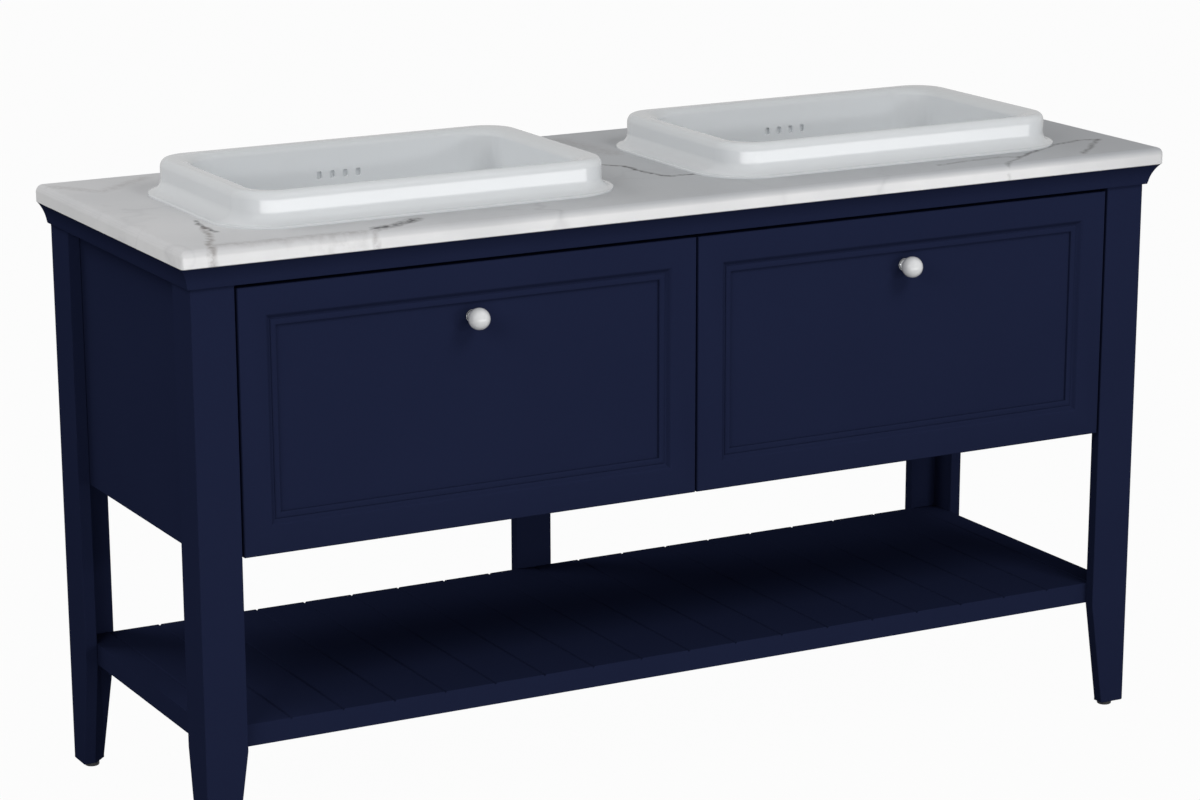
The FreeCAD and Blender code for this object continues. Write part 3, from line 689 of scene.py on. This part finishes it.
def marble():
    material, tree, shader, place = started_material("white_marble")
    bent = warped(tree, place, scale=9, reach=0.075, detail=6)
    parts = made_node(tree, "ShaderNodeSeparateXYZ", {"Vector": place}).outputs
    aside = parts["X"]
    half = worktop_high.x
    # Painted shade across the top, from the lit left end to the shaded right end.
    lit_to_middle = tinted(tree, stretched(tree, aside, -half, 0, 0, 1), marble_lit_left, marble_half_lit)
    upper = tinted(tree, stretched(tree, aside, 0, half, 0, 1), lit_to_middle, marble_shade)
    fade_low, fade_high = (worktop_high.z - drop for drop in reversed(edge_fade))
    # The edge band is painted lit. The same band also gets a smoother, shinier finish, which is the
    # stone's own polish.
    at_edge = stretched(tree, parts["Z"], fade_low, fade_high, 1, 0)
    painted_light_and_shade = tinted(tree, at_edge, upper, marble_lit_edge)
    mottled = stretched(tree, noise(tree, bent, scale=4.5, detail=5), 0.35, 0.65, 0, 0.30)
    stone = tinted(tree, mottled, painted_light_and_shade, marble_cloud)
    off_middle = calculated(tree, "SUBTRACT", noise(tree, bent, scale=3.2, detail=4), 0.5)
    thread = stretched(tree, calculated(tree, "ABSOLUTE", off_middle), 0, 0.014, 0.40, 0)
    patch = stretched(tree, noise(tree, place, scale=2.1, detail=2), 0.45, 0.62, 0, 1)
    fine = calculated(tree, "MULTIPLY", thread, patch)
    veined = tinted(tree, fine, stone, marble_thread)
    wavy = warped(tree, place, scale=55, reach=0.014, detail=3, plan=0.0)
    grain = stretched(tree, noise(tree, place, scale=110, detail=4), 0.35, 0.60, 0.25, 1.0)
    for half_width, strength, colour, course in veins:
        gap = None
        for start, end in zip(course, course[1:]):
            reach = to_course(tree, wavy, start, end)
            gap = reach if gap is None else calculated(tree, "MINIMUM", gap, reach)
        body = stretched(tree, gap, half_width * vein_core, half_width, strength, 0)
        veined = tinted(tree, calculated(tree, "MULTIPLY", body, grain), veined, colour)
    tree.links.new(veined, shader.inputs["Base Color"])
    dull = stretched(tree, at_edge, 0, 1, top_roughness, edge_roughness)
    shine = stretched(tree, at_edge, 0, 1, top_shine, edge_shine)
    tree.links.new(dull, shader.inputs["Roughness"])
    tree.links.new(shine, shader.inputs["Specular IOR Level"])
    raised(tree, shader, fine, distance=0.0002, strength=0.3)
    return material


def rounded_ring(centre, half_x, half_y, corner, z, steps):
    ring = []
    for quarter in range(4):
        diagonal = math.radians(90 * quarter + 45)
        hub_x = centre[0] + math.copysign(half_x - corner, math.cos(diagonal))
        hub_y = centre[1] + math.copysign(half_y - corner, math.sin(diagonal))
        for step in range(steps + 1):
            angle = math.radians(90 * (quarter + step / steps))
            ring.append((hub_x + corner * math.cos(angle), hub_y + corner * math.sin(angle), z))
    return ring


def carved(piece, cutters):
    for cutter in cutters:
        boolean = piece.modifiers.new(cutter.name, "BOOLEAN")
        boolean.object = cutter
        boolean.operation = "DIFFERENCE"
        boolean.solver = "EXACT"
    baked(piece)
    for cutter in cutters:
        bpy.data.objects.remove(cutter)


def even_shading(piece):
    even = piece.modifiers.new("even_shading", "WEIGHTED_NORMAL")
    even.keep_sharp = True


def middle(node):
    low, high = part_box(node)
    return (low + high) / 2


def slab_ring(inset, z):
    corner = max(worktop_corner - inset, worktop_corner_least)
    reach = worktop_high.x - inset
    hub_x, hub_y = reach - corner, worktop_low.y + inset + corner
    left = arc((-hub_x, hub_y), corner, 180, 270, worktop_corner_steps)
    right = arc((hub_x, hub_y), corner, 270, 360, worktop_corner_steps)
    back = [(reach, worktop_high.y), (-reach, worktop_high.y)]
    return [(x, y, z) for x, y in left + right + back]


slab_rings = [
    slab_ring(worktop_arris, worktop_low.z),
    slab_ring(0, worktop_low.z + worktop_arris),
]
round_hub = (worktop_round, worktop_high.z - worktop_round)
for across, up in arc(round_hub, worktop_round, 180, 90, worktop_round_steps):
    slab_rings.append(slab_ring(across, up))
worktop = linked("worktop_slab", banded("worktop_slab", slab_rings))
sawn = []
for side in ("left", "right"):
    centre = (middle("basin_" + side).x, middle("waste_plug_" + side).y)
    rings = [
        rounded_ring(centre, *opening_half, opening_corner, z, opening_corner_steps)
        for z in (worktop_low.z - worktop_round, worktop_high.z + worktop_round)
    ]
    sawn.append(linked("opening_" + side, banded("opening_" + side, rings)))
carved(worktop, sawn)
finished(worktop, marble(), "marble", "carcass", "worktop")
even_shading(worktop)

# Basins
# Slip-cast vitreous china, glazed white and fired, set in the openings on a bead of sealant. The foot
# flares through a hollow, the rim is rolled, and four slots in the back wall lead to the overflow.
china_tone = (0.82, 0.845, 0.865)
china_depth = 0.97
glaze_roughness = (0.16, 0.20)
glaze_coat = {"Coat Weight": 0.8, "Coat IOR": 1.6, "Coat Roughness": 0.14}
basin_foot_corner = 0.082
basin_foot_edge = 0.003
basin_cove_height = 0.020
basin_rim_half = (0.267, 0.1675)
basin_rim_corner = 0.050
basin_rim_round = (0.009, 0.012)
basin_rim_width = 0.013
basin_back_ledge = 0.028
basin_inner_corner = 0.048
basin_inner_round = 0.004
basin_back_round = 0.010
basin_end_slope = 0.026
basin_draft = 0.006
basin_depth = 0.080
basin_bend = 0.045
basin_wall = 0.012
basin_dish = 0.006
dish_radius = 0.088
drain_seat = (0.033, 0.003)
drain_hole = 0.023
corner_steps = 12
foot_steps = 4
cove_steps = 12
rim_steps = 8
inner_rim_steps = 10
bend_steps = 12
dish_steps = 6
under_bend_steps = 8
slot_count = 4
slot_pitch = 0.0195
slot_half = (0.0035, 0.0050)
slot_corner = 0.0025
slot_height = 0.0015
slot_depth = 0.0045
slot_round = 0.001
slot_round_steps = 4
slot_corner_steps = 5


def opaque(tone, share=1.0):
    return tuple(part * share for part in tone) + (1,)


def glaze(name, tone):
    material, tree, shader, place = started_material(name)
    cloud = noise(tree, place, scale=12, detail=2)
    tint = tinted(tree, cloud, opaque(tone, china_depth), opaque(tone))
    tree.links.new(tint, shader.inputs["Base Color"])
    tree.links.new(stretched(tree, cloud, 0.3, 0.7, *glaze_roughness), shader.inputs["Roughness"])
    for label, value in glaze_coat.items():
        shader.inputs[label].default_value = value
    raised(tree, shader, noise(tree, place, scale=35, detail=2), distance=0.0006, strength=0.02)
    return material


def quarter_turn(step, steps):
    return math.radians(90 * step / steps)


def bowl_rings(drain, top):
    half_x = basin_rim_half[0] - basin_rim_width + basin_inner_round - basin_end_slope
    half_y = basin_rim_half[1] - (basin_rim_width + basin_back_ledge) / 2
    rings = []

    def ring(out, z, back=0.0, ends=0.0):
        corner = basin_inner_corner + max(out, 0)
        hub = (drain[0], drain[1] + back / 2)
        wide, deep = half_x + out + ends, half_y + out + back / 2
        rings.append(rounded_ring(hub, wide, deep, corner, top + z, corner_steps))

    def circle(radius, z):
        rings.append(rounded_ring(drain, radius, radius, radius, z, corner_steps))

    def rolled(radius, drop):
        left = max(radius - drop, 0) / radius
        return radius * (1 - math.sqrt(1 - left * left))

    for step in range(inner_rim_steps + 1):
        drop = basin_back_round * (1 - math.cos(quarter_turn(step, inner_rim_steps)))
        out = rolled(basin_inner_round, drop)
        back = rolled(basin_back_round, drop)
        ends = back * basin_end_slope / basin_back_round
        ring(out, basin_height - drop, back - out, ends - out)
    bend_top = basin_bend - basin_depth
    for step in range(bend_steps + 1):
        angle = quarter_turn(step, bend_steps)
        out = -basin_draft - basin_bend * (1 - math.cos(angle))
        ring(out, bend_top - basin_bend * math.sin(angle))
    for step in range(dish_steps + 1):
        share = step / dish_steps
        radius = dish_radius + (drain_seat[0] - dish_radius) * share
        fall = basin_dish * (3 - 2 * share) * share * share
        circle(radius, top - basin_depth - fall)
    floor = top - basin_depth - basin_dish
    circle(drain_seat[0], floor - drain_seat[1])
    circle(drain_hole, floor - drain_seat[1])
    circle(drain_hole, floor - basin_wall)
    circle(dish_radius + basin_wall, floor - basin_wall)
    for step in range(under_bend_steps, -1, -1):
        angle = quarter_turn(step, under_bend_steps)
        bend = basin_bend + basin_wall
        out = basin_wall - basin_draft - bend * (1 - math.cos(angle))
        ring(out, bend_top - bend * math.sin(angle))
    ring(basin_wall, 0)
    return rings


def side_rings(centre, top, foot_half):
    rings = []

    def ring(share, inset, z):
        half_x = foot_half[0] + share * (basin_rim_half[0] - foot_half[0]) - inset
        half_y = foot_half[1] + share * (basin_rim_half[1] - foot_half[1]) - inset
        corner = basin_foot_corner + share * (basin_rim_corner - basin_foot_corner) - inset
        rings.append(rounded_ring(centre, half_x, half_y, corner, top + z, corner_steps))

    flare = foot_half[0] - basin_rim_half[0]
    edge = basin_foot_edge / 2
    ring(0, 0, 0)
    for step in range(foot_steps + 1):
        angle = quarter_turn(step, foot_steps)
        ring(edge * (1 - math.cos(angle)) / flare, 0, edge + edge * math.sin(angle))
    start = edge / flare
    for step in range(1, cove_steps + 1):
        angle = quarter_turn(step, cove_steps)
        rise = (basin_cove_height - basin_foot_edge) * (1 - math.cos(angle))
        ring(start + (1 - start) * math.sin(angle), 0, basin_foot_edge + rise)
    for step in range(rim_steps + 1):
        angle = quarter_turn(step, rim_steps)
        inset = basin_rim_round[0] * (1 - math.cos(angle))
        ring(1, inset, basin_height - basin_rim_round[1] * (1 - math.sin(angle)))
    return rings


def overflow_cutter(name, centre_x, wall_y, z, material):
    first_x = centre_x - slot_pitch * (slot_count - 1) / 2
    profile = [(slot_round, -slot_depth / 4)]
    for step in range(slot_round_steps + 1):
        angle = quarter_turn(step, slot_round_steps)
        profile.append((slot_round * (1 - math.sin(angle)), slot_round * (1 - math.cos(angle))))
    profile.append((0, slot_depth))
    rings = []
    for grow, back in profile:
        half_x, half_z = slot_half[0] + grow, slot_half[1] + grow
        flat = rounded_ring((0, 0), half_x, half_z, slot_corner + grow, 0, slot_corner_steps)
        rings.append([(first_x + x, wall_y + back, z + up) for x, up, _ in flat])
    cutter = linked(name, banded(name, rings))
    return grown(cutter, row_of("slot_row", material), Pitch=slot_pitch, Count=slot_count)


china = glaze("white_glaze", china_tone)
basin_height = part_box("basin_left")[1].z - worktop_high.z
for side in ("left", "right"):
    node = "basin_" + side
    low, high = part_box(node)
    centre, drain = middle(node), middle("waste_plug_" + side)
    foot_half = ((high.x - low.x) / 2, (high.y - low.y) / 2)
    rings = side_rings(centre, worktop_high.z, foot_half) + bowl_rings(drain, worktop_high.z)
    basin = linked("china_" + node, banded(node, rings, closed=True))
    wall_y = drain.y + basin_rim_half[1] - (basin_rim_width + basin_back_ledge) / 2
    cutter = overflow_cutter(
        "slots_" + side, centre.x, wall_y - basin_draft / 2, worktop_high.z + slot_height, china
    )
    carved(basin, [cutter])
    finished(basin, china, "basin_ceramic", "carcass", node)
    even_shading(basin)

# Drawer fronts
# One thick panel each, with a frame left proud round a sunk field. A cutter runs the ogee and the bead
# round the field, so the lines meet in true mitres.
front_arris = 0.002
arris_steps = 4
frame_width = 0.037
ogee = (0.0085, 0.0062)
bead_width = 0.0085
bead_top = 0.0045
field_depth = 0.009
moulding_steps = 8


def front_profile(thickness):
    steps = [(0, thickness)]
    for step in range(arris_steps + 1):
        angle = quarter_turn(step, arris_steps)
        steps.append((front_arris * (1 - math.cos(angle)), front_arris * (1 - math.sin(angle))))
    for step in range(moulding_steps + 1):
        share = step / moulding_steps
        sway = math.sin(share * math.tau) / (2 * math.tau)
        steps.append((frame_width + ogee[0] * share, ogee[1] * (share - sway)))
    half = bead_width / 2
    bead_hub = frame_width + ogee[0] + half
    for step in range(1, moulding_steps * 2):
        angle = math.pi * (1 - step / (moulding_steps * 2))
        depth = ogee[1] - (ogee[1] - bead_top) * math.sin(angle)
        steps.append((bead_hub + half * math.cos(angle), depth))
    steps.append((bead_hub + half, ogee[1]))
    steps.append((bead_hub + half, field_depth))
    return steps


for side in ("left", "right"):
    node = "drawer_front_" + side
    low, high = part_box(node)
    rings = []
    for inset, depth in front_profile(high.y - low.y):
        x_low, x_high = low.x + inset, high.x - inset
        z_low, z_high = low.z + inset, high.z - inset
        y = low.y + depth
        rings.append([
            (x_low, y, z_low), (x_high, y, z_low), (x_high, y, z_high), (x_low, y, z_high),
        ])
    front = linked("panelled_" + node, banded(node, rings))
    finished(front, cabinet_paint, "painted_wood", "drawer_" + side, node)

# Knobs
# A glazed china ball with a flat seat, held on a small turned chrome base by one screw through the
# drawer front.
knob_tone = (0.89, 0.90, 0.91)
chrome_tone = (0.60, 0.61, 0.63)
metal_depth = 0.93
metal_wear = 1.5
knob_radius = 0.01475
knob_seat = 0.008
ball_steps = 28
ball_sides = 56
base_plate = (0.009, 0.0025)
base_neck = 0.005
base_sides = 48
neck_steps = 10
plate_round = 0.0008
plate_round_steps = 4


def metal(name, tone, roughness, scratch):
    material, tree, shader, place = started_material(name)
    smear = noise(tree, place, scale=30, detail=4)
    tint = tinted(tree, smear, opaque(tone, metal_depth), opaque(tone))
    tree.links.new(tint, shader.inputs["Base Color"])
    dull = stretched(tree, smear, 0.3, 0.7, roughness, roughness * metal_wear)
    tree.links.new(dull, shader.inputs["Roughness"])
    shader.inputs["Metallic"].default_value = 1
    raised(tree, shader, noise(tree, place, scale=300, detail=2), distance=0.0002, strength=scratch)
    return material


chrome = metal("polished_chrome", chrome_tone, roughness=0.08, scratch=0.02)
knob_china = glaze("knob_glaze", knob_tone)
seat_angle = math.asin(knob_seat / knob_radius)
ball_profile = [(0, knob_radius * math.cos(seat_angle))]
ball_profile += arc((0, 0), knob_radius, 90 - math.degrees(seat_angle), -90, ball_steps)
for side in ("left", "right"):
    centre = middle("knob_" + side)
    centre.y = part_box("knob_" + side)[0].y + knob_radius
    ball = linked("china_knob_" + side, lathe(
        "knob_" + side, ball_profile, centre, ball_sides, along_y=True
    ))
    finished(ball, knob_china, "knob_ceramic", "drawer_" + side, "knob_" + side)
    field_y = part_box("drawer_front_" + side)[0].y + field_depth
    seat_y = centre.y + ball_profile[0][1]
    plate_y = field_y - base_plate[1]
    base_profile = [(0, seat_y), (knob_seat - plate_round, seat_y)]
    for step in range(neck_steps + 1):
        share = step / neck_steps
        waist = (knob_seat - base_neck) * (math.sin(math.pi * share) + share / 4)
        base_profile.append((knob_seat - waist, seat_y + (plate_y - seat_y) * share))
    base_profile += arc(
        (base_plate[0] - plate_round, plate_y + plate_round), plate_round, -90, 0,
        plate_round_steps,
    )
    base_profile += [(base_plate[0], field_y), (0, field_y)]
    base = linked("turned_knob_base_" + side, lathe(
        "knob_base_" + side, base_profile, (centre.x, 0, centre.z), base_sides, along_y=True
    ))
    finished(base, chrome, "chrome_trim", "drawer_" + side, "knob_base_" + side)

# Drawer boxes
# Birch boards, grooved for the bottom and clear lacquered. A notch at the back, with its own low
# walls, lets the drawer pass the trap.
box_arris = 0.0006
birch_dark = (0.58, 0.40, 0.235, 1)
birch_light = (0.70, 0.53, 0.35, 1)
birch_pore = (0.36, 0.22, 0.12, 1)
birch_roughness = (0.38, 0.50)


def birch(name, grain_scale):
    material, tree, shader, place = started_material(name)
    grown_along = made_node(
        tree, "ShaderNodeMapping", {"Vector": place, "Scale": grain_scale}
    ).outputs[0]
    figure = noise(tree, grown_along, scale=6, detail=5, warp=0.6)
    pores = noise(tree, grown_along, scale=60, detail=3)
    wood = tinted(tree, stretched(tree, figure, 0.3, 0.7, 0, 1), birch_dark, birch_light)
    dark = stretched(tree, pores, 0.56, 0.70, 0, 0.35)
    tree.links.new(tinted(tree, dark, wood, birch_pore), shader.inputs["Base Color"])
    tree.links.new(stretched(tree, figure, 0.3, 0.7, *birch_roughness), shader.inputs["Roughness"])
    raised(tree, shader, pores, distance=0.0003, strength=0.15)
    return material


birch_across = birch("birch_across", (1.5, 22, 22))
birch_deep = birch("birch_deep", (22, 1.5, 22))
for side in ("left", "right"):
    for node, wood in (
        ("drawer_sides_", birch_deep), ("drawer_notch_surround_", birch_deep),
        ("drawer_box_front_", birch_across), ("drawer_backs_", birch_across),
        ("drawer_bottom_", birch_across),
    ):
        dressed(node + side, wood)
        sanded(node + side, box_arris)

# Runners
# Cold-rolled, zinc plated channels that slide in each other on balls, a pair of runners to each
# drawer. The outer channel is screwed to the cabinet and the inner one to the drawer.
zinc_tone = (0.50, 0.51, 0.52)
rolled_edge = 0.0002

zinc = metal("zinc_plate", zinc_tone, roughness=0.30, scratch=0.15)
for side in ("left", "right"):
    for member in ("cabinet", "intermediate", "drawer"):
        node = "runner_" + member + "_members_" + side
        dressed(node, zinc)
        sanded(node, rolled_edge)
    dressed("knob_screw_" + side, zinc)

# Wastes and traps
# Turned brass parts plated with chrome: a push plug and its flanged body in each bowl, a nut under
# it, and a bottle trap with a ribbed cup and an outlet pipe that runs out at the back.
brass_tone = (0.62, 0.43, 0.18)
trap_tone = (0.56, 0.57, 0.59)
turned_sides = 72
plug_edge = 0.001
plug_edge_steps = 6
plug_crown = 0.0045
plug_stem = 0.005
crown_steps = 9
crown_power = 2.4
waste_nut_arris = 0.0008
rib_count = 18
rib_depth = 0.0016
shoulder = 0.008
shoulder_steps = 8
neck_radius = 0.026
neck_nut_height = 0.020
body_radius = 0.022
nut_chamfer = 0.002
outlet_profile = (
    (0, 0.024), (0.019, 0.024), (0.019, 0.034), (0.023, 0.034),
    (0.023, 0.050), (0.021, 0.052), (0, 0.052),
)
outlet_ribs = (3, 4)
pipe_wall = 0.0025
pipe_chamfer = 0.0005
pipe_sides = 64

brass = metal("turned_brass", brass_tone, roughness=0.22, scratch=0.10)
trap_chrome = metal("trap_chrome", trap_tone, roughness=0.12, scratch=0.04)


def ribbed_turning(name, profile, centre, ribbed, along_y=False):
    return lathe(
        name, profile, centre, turned_sides, along_y,
        ribs=rib_count, rib_depth=rib_depth, ribbed=ribbed,
    )


for side in ("left", "right"):
    low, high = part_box("waste_plug_" + side)
    drain = middle("waste_plug_" + side)
    drain.z = 0
    edge_radius = (high.x - low.x) / 2 - plug_edge
    rim_z = high.z - plug_crown
    plug_profile = [(0, low.z), (plug_stem, low.z), (plug_stem, rim_z), (edge_radius, rim_z)]
    plug_profile += arc(
        (edge_radius, rim_z + plug_edge), plug_edge, -90, 90, plug_edge_steps
    )[1:]
    for step in range(1, crown_steps + 1):
        share = 1 - step / crown_steps
        fall = (plug_crown - plug_edge) * share ** crown_power
        plug_profile.append((edge_radius * share, high.z - fall))
    plug = linked("domed_plug_" + side, lathe(
        "waste_plug_" + side, plug_profile, drain, turned_sides
    ))
    finished(plug, chrome, "chrome_trim", "plug_" + side, "waste_plug_" + side)
    dressed("waste_body_" + side, chrome)
    dressed("waste_nut_" + side, brass)
    sanded("waste_nut_" + side, waste_nut_arris)

    trap_low, trap_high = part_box("trap_body_" + side)
    pipe_low, pipe_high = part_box("trap_outlet_pipe_" + side)
    cup_low, cup_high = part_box("trap_cup_" + side)
    pipe_radius = (pipe_high.x - pipe_low.x) / 2
    pipe_z = (pipe_low.z + pipe_high.z) / 2
    bottle_radius = (trap_high.x - trap_low.x) / 2
    neck_base = trap_high.z - neck_nut_height
    bottle_profile = [(0, trap_low.z), (bottle_radius, trap_low.z)]
    bottle_profile += arc(
        (bottle_radius - shoulder, neck_base - shoulder), shoulder, 0, 90, shoulder_steps
    )
    nut_start = len(bottle_profile)
    bottle_profile += [
        (neck_radius, neck_base), (neck_radius, trap_high.z - nut_chamfer),
        (neck_radius - nut_chamfer, trap_high.z), (body_radius, trap_high.z), (0, trap_high.z),
    ]
    bottle = ribbed_turning("bottle", bottle_profile, drain, (nut_start, nut_start + 1))
    outlet_place = (drain.x, drain.y, pipe_z)
    outlet = ribbed_turning("outlet", outlet_profile, outlet_place, outlet_ribs, along_y=True)
    trap = linked("bottle_trap_" + side, joined("trap_body_" + side, [bottle, outlet]))
    finished(trap, trap_chrome, "trap_chrome", "carcass", "trap_body_" + side)

    cup_radius = (cup_high.x - cup_low.x) / 2
    cup_profile = [(0, cup_low.z)]
    cup_profile += arc(
        (cup_radius - shoulder, cup_low.z + shoulder), shoulder, -90, 0, shoulder_steps
    )
    rib_start = len(cup_profile) - 1
    cup_profile += [
        (cup_radius, cup_high.z - nut_chamfer), (cup_radius - nut_chamfer, cup_high.z),
        (bottle_radius, cup_high.z), (bottle_radius, trap_low.z), (0, trap_low.z),
    ]
    cup = linked("ribbed_cup_" + side, ribbed_turning(
        "trap_cup_" + side, cup_profile, drain, (rib_start, rib_start + 1)
    ))
    finished(cup, trap_chrome, "trap_chrome", "carcass", "trap_cup_" + side)

    run = pipe_high.y - pipe_low.y
    bore = pipe_radius - pipe_wall
    pipe_profile = [
        (bore, 0), (pipe_radius, 0), (pipe_radius, run - pipe_chamfer),
        (pipe_radius - pipe_chamfer, run), (bore, run),
    ]
    pipe = linked("outlet_pipe_" + side, lathe(
        "trap_outlet_pipe_" + side, pipe_profile, (drain.x, pipe_low.y, pipe_z), pipe_sides,
        along_y=True,
    ))
    finished(pipe, trap_chrome, "trap_chrome", "carcass", "trap_outlet_pipe_" + side)
